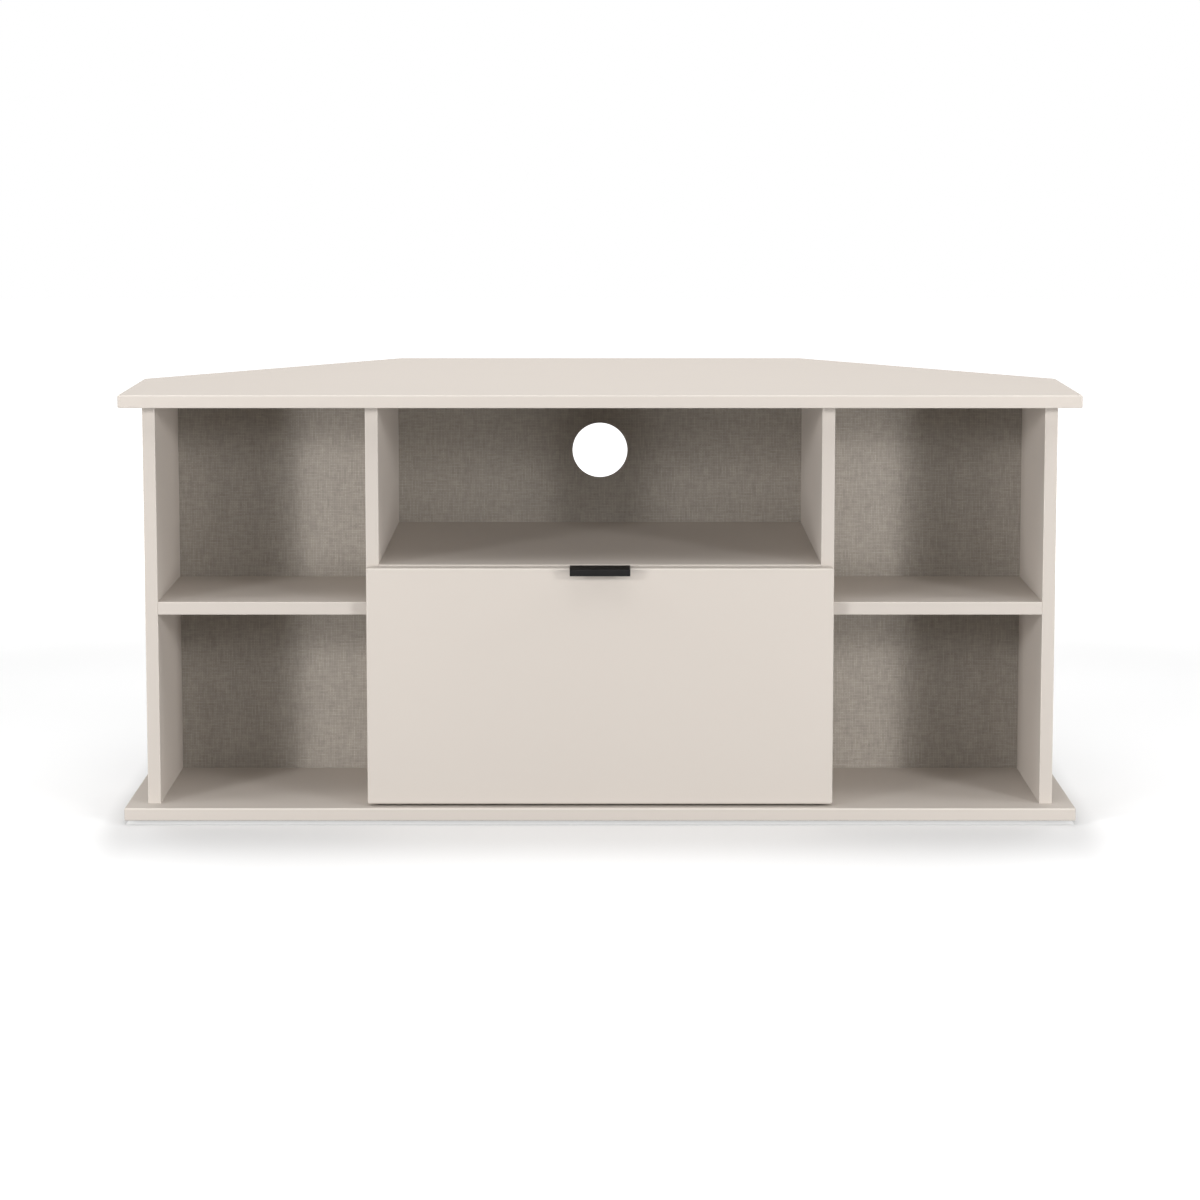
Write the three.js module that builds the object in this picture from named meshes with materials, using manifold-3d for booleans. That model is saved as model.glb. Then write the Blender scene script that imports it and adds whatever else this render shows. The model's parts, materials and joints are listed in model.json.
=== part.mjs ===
// Corner TV cabinet.
// Two plates of one plan, cut back at 45 degrees behind so that the cabinet stands in a room's corner,
// hold two short side panels and two deeper dividers. Each side bay has one fixed shelf. The middle bay
// has an open space on top and one deep drawer below it, which runs on a pair of roller runners.
// Millimetres: +Z is up, +X is to the right and the front faces -Y.
// The origin is on the floor, under the middle of the whole cabinet's box.

import * as THREE from 'three';
import { mergeVertices } from 'three/addons/utils/BufferGeometryUtils.js';
import Module from 'manifold-3d';

const wasm = await Module();
wasm.setup();

// Overall sizes
const overallWidth = 1110;
const overallDepth = 500; // front edge to back edge of the plates
const overallHeight = 504; // floor to the top surface
const sideEdgeDepth = 207; // the straight side edge of a plate, before the 45 degree cut

// Boards
const boardThickness = 15;
const plateOverhang = 24.5; // plates past the side panels and past the carcass front
const plateCornerRadius = 2; // corners of the plates, seen from above
const plateEdgeRound = 1.5;
const panelEdgeRound = 1; // front edges of panels and shelves
const jointGap = 0.1; // glue line between two boards, and bedding under fittings

// Bays
const centreBayWidth = 515;
const openBayHeight = 185.5; // the open space over the drawer
const lowerSideBayHeight = 224.5; // base plate to the underside of a side shelf
const sideRearMargin = 7; // side panel's back edge inside the plates' cut edge
const dividerRearMargin = 99; // divider's back edge inside the plates' cut edge, room for cables

// Back panels
const backThickness = 3;
const backInset = 8; // from a panel's back edge to the back panel's rear face
const backGrooveDepth = 6;
const grooveClearance = 0.3;
const cableHoleDiameter = 70;

// Drawer front
const frontStandOff = 1; // buffer gap between the drawer front and the carcass
const frontSideReveal = 1; // the drawer front stops short of the dividers' outer faces
const frontBottomGap = 3;
const frontTopDrop = 2; // drawer front's top edge below the middle shelf's surface
const frontCornerRadius = 3;
const frontEdgeRound = 2;

// Drawer box
const drawerBoard = 12;
const drawerTopClearance = 40; // room to lift the drawer over its rollers
const drawerRearSpace = 45.5;
const drawerTopRound = 3;
const drawerBottomThickness = 4;
const drawerBottomInset = 12; // drawer side's lower edge to the underside of the bottom
const drawerGrooveDepth = 5;

// Handle
const handleWidth = 70;
const handleGauge = 1.6;
const handleProjection = 18; // drawer front's face to the lip's face
const handleLip = 8;
const handleFlange = 22; // height of the leg let into the back of the drawer front
const handleBend = 2.2; // outer radius of its two bends
const handleScrewSpacing = 40;
const handleScrewDrop = 13; // screw below the handle's top
const handleScrewHead = 6;
const handleScrewShank = 3;
const handleScrewLength = 12;

// Runners
const runnerGap = 12.5; // drawer side to divider
const runnerSteel = 1.2;
const runnerFloorGap = 14; // base plate to the cabinet runner's underside
const runnerFrontSetback = 2;
const runnerRearMargin = 7.5; // drawer side's end to the runner's end
const drawerEdgeLift = 2.8; // drawer side's lower edge above the roller track
const drawerRunnerFlange = 11; // under the drawer side
const rollerDiameter = 18;
const rollerSideGap = 0.7;
const rollerEndInset = 14; // axle to the runner's end
const rollerEdgeBevel = 0.6;
const runningClearance = 0.3;
const axleDiameter = 5;
const axleHeadDiameter = 9;
const axleHeadThickness = 0.8;
const passingGap = 0.6; // axle heads to screw heads, and drawer rail to the upper lip
const railEdgeGap = 2.2; // drawer rail to the cabinet runner's web
const runnerScrewInset = 37; // first and last screw from a runner's ends
const runnerScrewHead = 7;
const runnerScrewHeadHeight = 1.5;
const runnerScrewShank = 3.5;
const cabinetScrewLength = 12;
const drawerScrewLength = 9;

// Base screws, top dowels and glides
const baseScrewLength = 45;
const baseScrewShank = 5;
const baseScrewHead = 9.5;
const baseScrewHeadHeight = 4;
const baseScrewSink = 0.5;
const baseScrewInset = 70; // from an upright's front and back edges
const dowelLength = 30;
const dowelDiameter = 8;
const dowelCover = 4; // board left over a dowel hole in the top plate
const dowelInset = 50;
const dowelEndChamfer = 1;
const glideHeight = 5;
const glideDiameter = 22;
const glideEdgeBevel = 1.5;
const glidePin = 2.4;
const glidePinLength = 10;
const glideInset = 30;
const holeClearance = 0.3; // round a screw, dowel or pin
const cutOverrun = 1;

// Roundness of the facets
const roundSides = 12;
const rollerSides = 24;
const cableHoleSides = 64;
const cornerSteps = 4;
const edgeSteps = 3;

// Places that follow from the sizes above
const halfWidth = overallWidth / 2;
const plateEdgeAt = (x) => Math.min(overallDepth, sideEdgeDepth + halfWidth - x);
const carcassFront = plateOverhang;
const sideOuter = halfWidth - plateOverhang;
const sideInner = sideOuter - boardThickness;
const sideRear = plateEdgeAt(sideOuter) - sideRearMargin;
const dividerInner = centreBayWidth / 2;
const dividerOuter = dividerInner + boardThickness;
const dividerRear = plateEdgeAt(dividerOuter) - dividerRearMargin;
const baseTop = glideHeight + boardThickness;
const topUnderside = overallHeight - boardThickness;
const centreShelfTop = topUnderside - openBayHeight;
const sideShelfBottom = baseTop + lowerSideBayHeight;
const sideBackFront = sideRear - backInset - backThickness;
const centreBackFront = dividerRear - backInset - backThickness;

const frontBackFace = carcassFront - frontStandOff;
const frontFace = frontBackFace - boardThickness;
const frontHalfWidth = dividerOuter - frontSideReveal;
const frontBottom = baseTop + frontBottomGap;
const frontTop = centreShelfTop - frontTopDrop;
const handleTop = frontTop + jointGap + handleGauge;

const runnerFront = carcassFront + runnerFrontSetback;
const trackTop = baseTop + runnerFloorGap + runnerSteel;
const rollerRadius = rollerDiameter / 2;
const axleHeight = trackTop + runningClearance + rollerRadius;
const railUnderside = axleHeight + rollerRadius + runningClearance;
const railTop = railUnderside + runnerSteel;
const drawerSideOuter = dividerInner - runnerGap;
const drawerSideInner = drawerSideOuter - drawerBoard;
const drawerEnd = centreBackFront - drawerRearSpace;
const drawerLow = trackTop + drawerEdgeLift;
const drawerHigh = centreShelfTop - boardThickness - drawerTopClearance;
const drawerFloorLow = drawerLow + drawerBottomInset;
const drawerFloorHigh = drawerFloorLow + drawerBottomThickness;
const runnerLength = drawerEnd - runnerRearMargin - runnerFront;

// Across the runner gap, counted outwards from the drawer side's outer face
const legOuter = jointGap + runnerSteel;
const webInner = runnerGap - jointGap - runnerSteel;
const rearRollerInner = legOuter + rollerSideGap;
const rollerWidth = webInner - rearRollerInner - runningClearance - axleHeadThickness
  - passingGap - runnerScrewHeadHeight;
const frontRollerInner = webInner - rollerSideGap - rollerWidth;

// Finishes
const finish = (name, color, roughness, metalness = 0) =>
  new THREE.MeshStandardMaterial({ name, color, roughness, metalness });
const cashmere = finish('cashmere_board', 0xded5cb, 0.55);
const linen = finish('linen_back', 0xb3aa9c, 0.8);
const drawerWhite = finish('drawer_board', 0xd9d1c7, 0.6);
const blackMetal = finish('black_metal', 0x17181a, 0.42, 0.6);
const runnerPaint = finish('runner_paint', 0xe9e6df, 0.4, 0.3);
const nylon = finish('white_nylon', 0xf0efea, 0.45);
const zinc = finish('zinc_steel', 0xa9abad, 0.35, 1);
const beech = finish('beech_dowel', 0xc9a678, 0.7);
const glidePlastic = finish('glide_plastic', 0x2b2a29, 0.5);

// Solids
const vec = (x, y, z) => new THREE.Vector3(x, y, z);

function toSolid(geometry) {
  const bare = geometry.clone();
  bare.deleteAttribute('normal');
  bare.deleteAttribute('uv');
  const merged = mergeVertices(bare);
  const corners = merged.index.array;
  const triangles = [];
  for (let i = 0; i < corners.length; i += 3) {
    const [a, b, c] = corners.subarray(i, i + 3);
    if (a !== b && b !== c && c !== a) triangles.push(a, b, c);
  }
  return new wasm.Manifold(new wasm.Mesh({
    numProp: 3,
    vertProperties: merged.attributes.position.array,
    triVerts: new Uint32Array(triangles),
  }));
}

function toGeometry(solid) {
  const mesh = solid.getMesh();
  const geometry = new THREE.BufferGeometry();
  geometry.setAttribute('position', new THREE.BufferAttribute(mesh.vertProperties, 3));
  geometry.setIndex(new THREE.BufferAttribute(mesh.triVerts, 1));
  geometry.computeVertexNormals();
  return geometry;
}

// Cutters and added pieces stand in the cabinet's frame, the piece's own corner at the given place.
function workedAt(place, geometry, cutters, added = []) {
  const local = (piece) => toSolid(piece.clone().translate(-place.x, -place.y, -place.z));
  let solid = toSolid(geometry);
  for (const piece of added) solid = solid.add(local(piece));
  for (const cutter of cutters) solid = solid.subtract(local(cutter));
  return toGeometry(solid);
}

function piece(name, geometry, material, place = vec(0, 0, 0)) {
  const mesh = new THREE.Mesh(geometry, material);
  mesh.name = name;
  mesh.position.copy(place);
  return mesh;
}

// An outline through corners [x, y, radius], with a round at each corner that has a radius.
function roundedOutline(corners) {
  const shape = new THREE.Shape();
  corners.forEach(([x, y, radius = 0], i) => {
    const corner = new THREE.Vector2(x, y);
    const last = corners[(i + corners.length - 1) % corners.length];
    const next = corners[(i + 1) % corners.length];
    const towards = (other) =>
      new THREE.Vector2(other[0], other[1]).sub(corner).normalize().multiplyScalar(radius).add(corner);
    const entry = towards(last);
    const leave = towards(next);
    if (i === 0) shape.moveTo(entry.x, entry.y);
    else shape.lineTo(entry.x, entry.y);
    if (radius > 0) shape.quadraticCurveTo(corner.x, corner.y, leave.x, leave.y);
  });
  shape.closePath();
  return shape;
}

// An outline pushed up along +Z, with its top and bottom edges rounded.
function softPrism(shape, height, round) {
  return new THREE.ExtrudeGeometry(shape, {
    depth: height - 2 * round,
    curveSegments: cornerSteps,
    bevelEnabled: round > 0,
    bevelThickness: round,
    bevelSize: round,
    bevelOffset: -round,
    bevelSegments: edgeSteps,
  }).translate(0, 0, round);
}

function prism(shape, height, curveSegments = cornerSteps) {
  return new THREE.ExtrudeGeometry(shape, { depth: height, curveSegments, bevelEnabled: false });
}

// A box with its low corner at the origin.
function box(width, depth, height) {
  return new THREE.BoxGeometry(width, depth, height).translate(width / 2, depth / 2, height / 2);
}

function boxBetween(low, high) {
  return box(high.x - low.x, high.y - low.y, high.z - low.z).translate(low.x, low.y, low.z);
}

// A round rod from the origin along +Z.
function rod(diameter, length, sides = roundSides) {
  return new THREE.CylinderGeometry(diameter / 2, diameter / 2, length, sides)
    .rotateX(Math.PI / 2)
    .translate(0, 0, length / 2);
}

// A turned piece round +Z, from [radius, height] points that go upwards on its outside.
function turned(profile, sides = roundSides) {
  return new THREE.LatheGeometry(profile.map(([r, z]) => new THREE.Vector2(r, z)), sides)
    .rotateX(Math.PI / 2);
}

// Section of a board: its front edge lies on the left with two rounded corners.
function edgedSection(depth, thickness, round) {
  return roundedOutline([
    [0, 0, round],
    [depth, 0],
    [depth, thickness],
    [0, thickness, round],
  ]);
}

// Screws start with the head at the origin and point along +Z.
function countersunkScrew(head, headHeight, shank, length, grow = 0) {
  const tip = shank;
  return turned([
    [0, -grow],
    [head / 2 + grow, -grow],
    [shank / 2 + grow, headHeight],
    [shank / 2 + grow, length - tip + grow],
    [0, length + grow],
  ]);
}

function panScrew(head, headHeight, shank, length) {
  const tip = shank;
  const crown = headHeight / 3;
  return turned([
    [0, 0],
    [head / 2 - crown, 0],
    [head / 2, crown],
    [head / 2, headHeight],
    [shank / 2, headHeight],
    [shank / 2, headHeight + length - tip],
    [0, headHeight + length],
  ]);
}

// The plates' plan, shared by the top and the base
function platePlan() {
  const backHalf = halfWidth - (overallDepth - sideEdgeDepth);
  const rightHalf = [
    [halfWidth, 0, plateCornerRadius],
    [halfWidth, sideEdgeDepth, plateCornerRadius],
    [backHalf, overallDepth, plateCornerRadius],
  ];
  const leftHalf = rightHalf.map(([x, y, r]) => [-x, y, r]).reverse();
  return roundedOutline([...rightHalf, ...leftHalf]);
}

// The four uprights: where each stands, and the spots of its screws, dowels and glides
const sides = [{ word: 'left', sign: -1 }, { word: 'right', sign: 1 }];
const uprights = sides.flatMap(({ word, sign }) => [
  { name: `${word}_side_panel`, sign, inner: sideInner, rear: sideRear },
  { name: `${word}_divider`, sign, inner: dividerInner, rear: dividerRear },
]);

function spotsUnder(upright, inset) {
  const x = upright.sign * (upright.inner + boardThickness / 2);
  return [
    { end: 'front', x, y: carcassFront + inset },
    { end: 'back', x, y: upright.rear - inset },
  ].map((spot) => ({ ...spot, name: `${upright.name}_${spot.end}` }));
}

const baseScrewSpots = uprights.flatMap((upright) => spotsUnder(upright, baseScrewInset));
const dowelSpots = uprights.flatMap((upright) => spotsUnder(upright, dowelInset));
const glideSpots = uprights.flatMap((upright) => spotsUnder(upright, glideInset));
const dowelBottom = overallHeight - dowelCover - dowelLength;
const baseScrewStart = glideHeight + baseScrewSink;

function dowelHole({ x, y }) {
  return rod(dowelDiameter + 2 * holeClearance, dowelLength + 2 * holeClearance)
    .translate(x, y, dowelBottom - holeClearance);
}

function baseScrewHole({ x, y }) {
  const passage = countersunkScrew(
    baseScrewHead, baseScrewHeadHeight, baseScrewShank, baseScrewLength, holeClearance,
  ).translate(x, y, baseScrewStart);
  const mouth = rod(baseScrewHead + 2 * holeClearance, baseScrewSink + cutOverrun)
    .translate(x, y, glideHeight - cutOverrun);
  return [passage, mouth];
}

function glidePinHole({ x, y }) {
  return rod(glidePin + 2 * holeClearance, glidePinLength + holeClearance + cutOverrun)
    .translate(x, y, glideHeight - cutOverrun);
}

// Top and base plates
function makeTopPlate() {
  const place = vec(0, 0, topUnderside);
  const blank = softPrism(platePlan(), boardThickness, plateEdgeRound);
  return piece('top_plate', workedAt(place, blank, dowelSpots.map(dowelHole)), cashmere, place);
}

function makeBasePlate() {
  const place = vec(0, 0, glideHeight);
  const blank = softPrism(platePlan(), boardThickness, plateEdgeRound);
  const holes = [...baseScrewSpots.flatMap(baseScrewHole), ...glideSpots.map(glidePinHole)];
  return piece('base_plate', workedAt(place, blank, holes), cashmere, place);
}

// Uprights, with a groove for each back panel that they hold
function backGroove(low, high, backFront) {
  return boxBetween(
    vec(low, backFront - grooveClearance, baseTop - cutOverrun),
    vec(high, backFront + backThickness + grooveClearance, topUnderside + cutOverrun),
  );
}

function groovesOf(upright) {
  const { sign, inner } = upright;
  const ordered = (a, b) => [Math.min(sign * a, sign * b), Math.max(sign * a, sign * b)];
  if (inner === sideInner) {
    return [backGroove(...ordered(inner - cutOverrun, inner + backGrooveDepth), sideBackFront)];
  }
  const outer = inner + boardThickness;
  return [
    backGroove(...ordered(inner - cutOverrun, inner + backGrooveDepth), centreBackFront),
    backGroove(...ordered(outer - backGrooveDepth, outer + cutOverrun), sideBackFront),
  ];
}

function runnerScrewSpots() {
  return [
    { end: 'front', y: runnerFront + runnerScrewInset },
    { end: 'back', y: runnerFront + runnerLength - runnerScrewInset },
  ];
}

function cabinetScrewHoles(sign) {
  const depth = cabinetScrewLength + holeClearance;
  return runnerScrewSpots().map(({ y }) =>
    rod(runnerScrewShank + 2 * holeClearance, depth + cutOverrun)
      .translate(0, 0, dividerInner - cutOverrun)
      .rotateY(sign * Math.PI / 2)
      .translate(0, y, axleHeight));
}

function makeUpright(upright) {
  const low = Math.min(upright.sign * upright.inner, upright.sign * (upright.inner + boardThickness));
  const place = vec(low, carcassFront, baseTop + jointGap);
  const height = topUnderside - baseTop - 2 * jointGap;
  const section = edgedSection(upright.rear - carcassFront, boardThickness, panelEdgeRound);
  const blank = prism(section, height).rotateZ(Math.PI / 2).translate(boardThickness, 0, 0);
  const cutters = [
    ...groovesOf(upright),
    ...spotsUnder(upright, dowelInset).map(dowelHole),
    ...spotsUnder(upright, baseScrewInset).flatMap(baseScrewHole),
  ];
  if (upright.inner === dividerInner) cutters.push(...cabinetScrewHoles(upright.sign));
  return piece(upright.name, workedAt(place, blank, cutters), cashmere, place);
}

// Shelves: a section with a rounded front edge, pushed from left to right
function makeShelf(name, left, right, bottom, backFace) {
  const section = edgedSection(backFace - jointGap - carcassFront, boardThickness, panelEdgeRound);
  const geometry = prism(section, right - left - 2 * jointGap)
    .rotateX(Math.PI / 2)
    .rotateZ(Math.PI / 2);
  return piece(name, geometry, cashmere, vec(left + jointGap, carcassFront, bottom));
}

function makeShelves() {
  return [
    makeShelf('left_shelf', -sideInner, -dividerOuter, sideShelfBottom, sideBackFront),
    makeShelf('right_shelf', dividerOuter, sideInner, sideShelfBottom, sideBackFront),
    makeShelf(
      'centre_shelf', -dividerInner, dividerInner, centreShelfTop - boardThickness, centreBackFront,
    ),
  ];
}

// Back panels, which slide into the uprights' grooves
function makeBackPanels() {
  const entry = backGrooveDepth - grooveClearance;
  const height = topUnderside - baseTop - 2 * jointGap;
  const low = baseTop + jointGap;
  const width = sideInner - dividerOuter + 2 * entry;
  const sheet = box(width, backThickness, height);
  const holeHeight = (centreShelfTop + topUnderside) / 2 - low;
  const centreWidth = centreBayWidth + 2 * entry;
  const face = roundedOutline([
    [0, 0],
    [centreWidth, 0],
    [centreWidth, height],
    [0, height],
  ]);
  const hole = new THREE.Path();
  hole.absarc(centreWidth / 2, holeHeight, cableHoleDiameter / 2, 0, 2 * Math.PI, true);
  face.holes.push(hole);
  const centre = prism(face, backThickness, cableHoleSides)
    .rotateX(Math.PI / 2)
    .translate(0, backThickness, 0);
  return [
    piece('left_back_panel', sheet, linen, vec(-sideInner - entry, sideBackFront, low)),
    piece('right_back_panel', sheet, linen, vec(dividerOuter - entry, sideBackFront, low)),
    piece('centre_back_panel', centre, linen, vec(-centreWidth / 2, centreBackFront, low)),
  ];
}

// Drawer front, with the handle's recess and the bottom's groove in its back
function makeDrawerFront() {
  const place = vec(-frontHalfWidth, frontFace, frontBottom);
  const width = 2 * frontHalfWidth;
  const height = frontTop - frontBottom;
  const face = roundedOutline([
    [0, 0, frontCornerRadius],
    [width, 0, frontCornerRadius],
    [width, height, frontCornerRadius],
    [0, height, frontCornerRadius],
  ]);
  const blank = softPrism(face, boardThickness, frontEdgeRound)
    .rotateX(Math.PI / 2)
    .translate(0, boardThickness, 0);
  const grooveHalf = drawerSideInner + drawerGrooveDepth;
  const groove = boxBetween(
    vec(-grooveHalf, frontBackFace - drawerGrooveDepth, drawerFloorLow - grooveClearance),
    vec(grooveHalf, frontBackFace + cutOverrun, drawerFloorHigh + grooveClearance),
  );
  const recessHalf = handleWidth / 2 + grooveClearance;
  const recessFloor = frontBackFace - handleGauge - grooveClearance;
  const recess = boxBetween(
    vec(-recessHalf, recessFloor, handleTop - handleFlange - grooveClearance),
    vec(recessHalf, frontBackFace + cutOverrun, frontTop + cutOverrun),
  );
  const cutters = [groove, recess, ...handleScrewSpots().map(handleScrewHole)];
  return piece('drawer_front', workedAt(place, blank, cutters), cashmere, place);
}

// Drawer box
function makeDrawerSide({ word, sign }) {
  const low = Math.min(sign * drawerSideInner, sign * drawerSideOuter);
  const place = vec(low, frontBackFace + jointGap, drawerLow);
  const length = drawerEnd - place.y;
  const section = roundedOutline([
    [0, 0],
    [drawerBoard, 0],
    [drawerBoard, drawerHigh - drawerLow, drawerTopRound],
    [0, drawerHigh - drawerLow, drawerTopRound],
  ]);
  const blank = prism(section, length).rotateX(Math.PI / 2).translate(0, length, 0);
  const grooveEdge = sign * (drawerSideInner + drawerGrooveDepth);
  const openEdge = sign * (drawerSideInner - cutOverrun);
  const groove = boxBetween(
    vec(Math.min(grooveEdge, openEdge), place.y - cutOverrun, drawerFloorLow - grooveClearance),
    vec(Math.max(grooveEdge, openEdge), drawerEnd + cutOverrun, drawerFloorHigh + grooveClearance),
  );
  const screwHoles = runnerScrewSpots().map(({ y }) =>
    rod(runnerScrewShank + 2 * holeClearance, drawerScrewLength + holeClearance + cutOverrun)
      .translate(sign * (drawerSideOuter - drawerBoard / 2), y, drawerLow - cutOverrun));
  const geometry = workedAt(place, blank, [groove, ...screwHoles]);
  return piece(`drawer_${word}_side`, geometry, drawerWhite, place);
}

function makeDrawerBack() {
  const half = drawerSideInner - jointGap;
  const low = drawerFloorHigh + jointGap;
  const section = roundedOutline([
    [0, 0],
    [drawerBoard, 0],
    [drawerBoard, drawerHigh - low, drawerTopRound],
    [0, drawerHigh - low, drawerTopRound],
  ]);
  const geometry = prism(section, 2 * half).rotateX(Math.PI / 2).rotateZ(Math.PI / 2);
  return piece('drawer_back', geometry, drawerWhite, vec(-half, drawerEnd - drawerBoard, low));
}

function makeDrawerBottom() {
  const entry = drawerGrooveDepth - grooveClearance;
  const half = drawerSideInner + entry;
  const front = frontBackFace - entry;
  const sheet = box(2 * half, drawerEnd - front, drawerBottomThickness);
  return piece('drawer_bottom', sheet, linen, vec(-half, front, drawerFloorLow));
}

// Handle: one bent strip that hooks over the drawer front's top edge
function handleScrewSpots() {
  return sides.map(({ word, sign }) => ({
    word,
    place: vec(sign * handleScrewSpacing / 2, frontBackFace, handleTop - handleScrewDrop),
  }));
}

function handleScrewHole({ place }) {
  return countersunkScrew(
    handleScrewHead, handleGauge, handleScrewShank, handleScrewLength, holeClearance,
  ).rotateX(Math.PI / 2).translate(place.x, place.y, place.z);
}

function makeHandle() {
  const back = frontBackFace;
  const lipFace = frontFace - handleProjection;
  const innerBend = handleBend - handleGauge;
  const section = roundedOutline([
    [back - handleGauge, handleTop - handleFlange],
    [back, handleTop - handleFlange],
    [back, handleTop, handleBend],
    [lipFace, handleTop, handleBend],
    [lipFace, handleTop - handleLip],
    [lipFace + handleGauge, handleTop - handleLip],
    [lipFace + handleGauge, handleTop - handleGauge, innerBend],
    [back - handleGauge, handleTop - handleGauge, innerBend],
  ]);
  const place = vec(-handleWidth / 2, 0, 0);
  const blank = prism(section, handleWidth).rotateX(Math.PI / 2).rotateZ(Math.PI / 2);
  const geometry = workedAt(place, blank, handleScrewSpots().map(handleScrewHole));
  return piece('drawer_handle', geometry, blackMetal, place);
}

function makeHandleScrews() {
  const geometry = countersunkScrew(handleScrewHead, handleGauge, handleScrewShank, handleScrewLength)
    .rotateX(Math.PI / 2);
  return handleScrewSpots().map(({ word, place }) =>
    piece(`handle_screw_${word}`, geometry, zinc, place));
}

// Runners. Sections are drawn as [outwards from the drawer side, height] for the right-hand side
// and mirrored for the left.
function runnerSection(corners, sign) {
  return roundedOutline(corners.map(([outwards, z]) => [sign * (drawerSideOuter + outwards), z]));
}

function runnerProfile(corners, sign) {
  return prism(runnerSection(corners, sign), runnerLength)
    .rotateX(Math.PI / 2)
    .translate(0, runnerLength, 0);
}

// A riveted axle that points along X from the given distance outwards to its head.
function axle(sign, from, to, y) {
  const reach = Math.abs(to - from);
  const heading = sign * Math.sign(to - from);
  const shaft = rod(axleDiameter, reach + axleHeadThickness);
  const head = rod(axleHeadDiameter, axleHeadThickness).translate(0, 0, reach);
  return [shaft, head].map((part) => part
    .rotateY(heading * Math.PI / 2)
    .translate(sign * (drawerSideOuter + from), y, axleHeight));
}

function makeCabinetRunner({ word, sign }) {
  const outer = runnerGap - jointGap;
  const lipEdge = legOuter + rollerSideGap;
  const low = trackTop - runnerSteel;
  const high = railTop + passingGap + runnerSteel;
  const blank = runnerProfile([
    [lipEdge, low],
    [outer, low],
    [outer, high],
    [lipEdge, high],
    [lipEdge, high - runnerSteel],
    [webInner, high - runnerSteel],
    [webInner, trackTop],
    [lipEdge, trackTop],
  ], sign);
  const place = vec(0, runnerFront, 0);
  const headFrom = frontRollerInner - runningClearance;
  const pin = axle(sign, outer - runnerSteel / 2, headFrom, runnerFront + rollerEndInset);
  const holes = runnerScrewSpots().map(({ y }) =>
    rod(runnerScrewShank + 2 * holeClearance, runnerSteel + 2 * cutOverrun)
      .translate(0, 0, drawerSideOuter + webInner - cutOverrun)
      .rotateY(sign * Math.PI / 2)
      .translate(0, y, axleHeight));
  return piece(`${word}_cabinet_runner`, workedAt(place, blank, holes, pin), runnerPaint, place);
}

function makeDrawerRunner({ word, sign }) {
  const low = drawerLow - jointGap - runnerSteel;
  const blank = runnerProfile([
    [-drawerRunnerFlange, low],
    [legOuter, low],
    [legOuter, railUnderside],
    [webInner - railEdgeGap, railUnderside],
    [webInner - railEdgeGap, railTop],
    [jointGap, railTop],
    [jointGap, low + runnerSteel],
    [-drawerRunnerFlange, low + runnerSteel],
  ], sign);
  const place = vec(0, runnerFront, 0);
  const headFrom = rearRollerInner + rollerWidth + runningClearance;
  const axleY = runnerFront + runnerLength - rollerEndInset;
  const pin = axle(sign, legOuter - runnerSteel / 2, headFrom, axleY);
  const holes = runnerScrewSpots().map(({ y }) =>
    rod(runnerScrewShank + 2 * holeClearance, runnerSteel + 2 * cutOverrun)
      .translate(sign * (drawerSideOuter - drawerBoard / 2), y, low - cutOverrun));
  return piece(`${word}_drawer_runner`, workedAt(place, blank, holes, pin), runnerPaint, place);
}

function makeRollers({ word, sign }) {
  const bore = axleDiameter / 2 + runningClearance;
  const geometry = turned([
    [bore, 0],
    [rollerRadius - rollerEdgeBevel, 0],
    [rollerRadius, rollerEdgeBevel],
    [rollerRadius, rollerWidth - rollerEdgeBevel],
    [rollerRadius - rollerEdgeBevel, rollerWidth],
    [bore, rollerWidth],
    [bore, 0],
  ], rollerSides).rotateY(sign * Math.PI / 2);
  const at = (outwards, y) => vec(sign * (drawerSideOuter + outwards), y, axleHeight);
  const frontY = runnerFront + rollerEndInset;
  const rearY = runnerFront + runnerLength - rollerEndInset;
  return {
    front: piece(`${word}_front_roller`, geometry, nylon, at(frontRollerInner, frontY)),
    rear: piece(`${word}_rear_roller`, geometry, nylon, at(rearRollerInner, rearY)),
  };
}

function makeCabinetScrews({ word, sign }) {
  const geometry = panScrew(runnerScrewHead, runnerScrewHeadHeight, runnerScrewShank, cabinetScrewLength)
    .rotateY(sign * Math.PI / 2);
  const x = sign * (drawerSideOuter + webInner - jointGap - runnerScrewHeadHeight);
  return runnerScrewSpots().map(({ end, y }) =>
    piece(`${word}_cabinet_runner_screw_${end}`, geometry, zinc, vec(x, y, axleHeight)));
}

function makeDrawerScrews({ word, sign }) {
  const geometry = panScrew(runnerScrewHead, runnerScrewHeadHeight, runnerScrewShank, drawerScrewLength);
  const x = sign * (drawerSideOuter - drawerBoard / 2);
  const z = drawerLow - 2 * jointGap - runnerSteel - runnerScrewHeadHeight;
  return runnerScrewSpots().map(({ end, y }) =>
    piece(`${word}_drawer_runner_screw_${end}`, geometry, zinc, vec(x, y, z)));
}

// Base screws, top dowels and glides
function makeBaseScrews() {
  const geometry = countersunkScrew(baseScrewHead, baseScrewHeadHeight, baseScrewShank, baseScrewLength);
  return baseScrewSpots.map(({ name, x, y }) =>
    piece(`base_screw_${name}`, geometry, zinc, vec(x, y, baseScrewStart)));
}

function makeDowels() {
  const radius = dowelDiameter / 2;
  const geometry = turned([
    [0, 0],
    [radius - dowelEndChamfer, 0],
    [radius, dowelEndChamfer],
    [radius, dowelLength - dowelEndChamfer],
    [radius - dowelEndChamfer, dowelLength],
    [0, dowelLength],
  ]);
  return dowelSpots.map(({ name, x, y }) =>
    piece(`top_dowel_${name}`, geometry, beech, vec(x, y, dowelBottom)));
}

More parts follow.
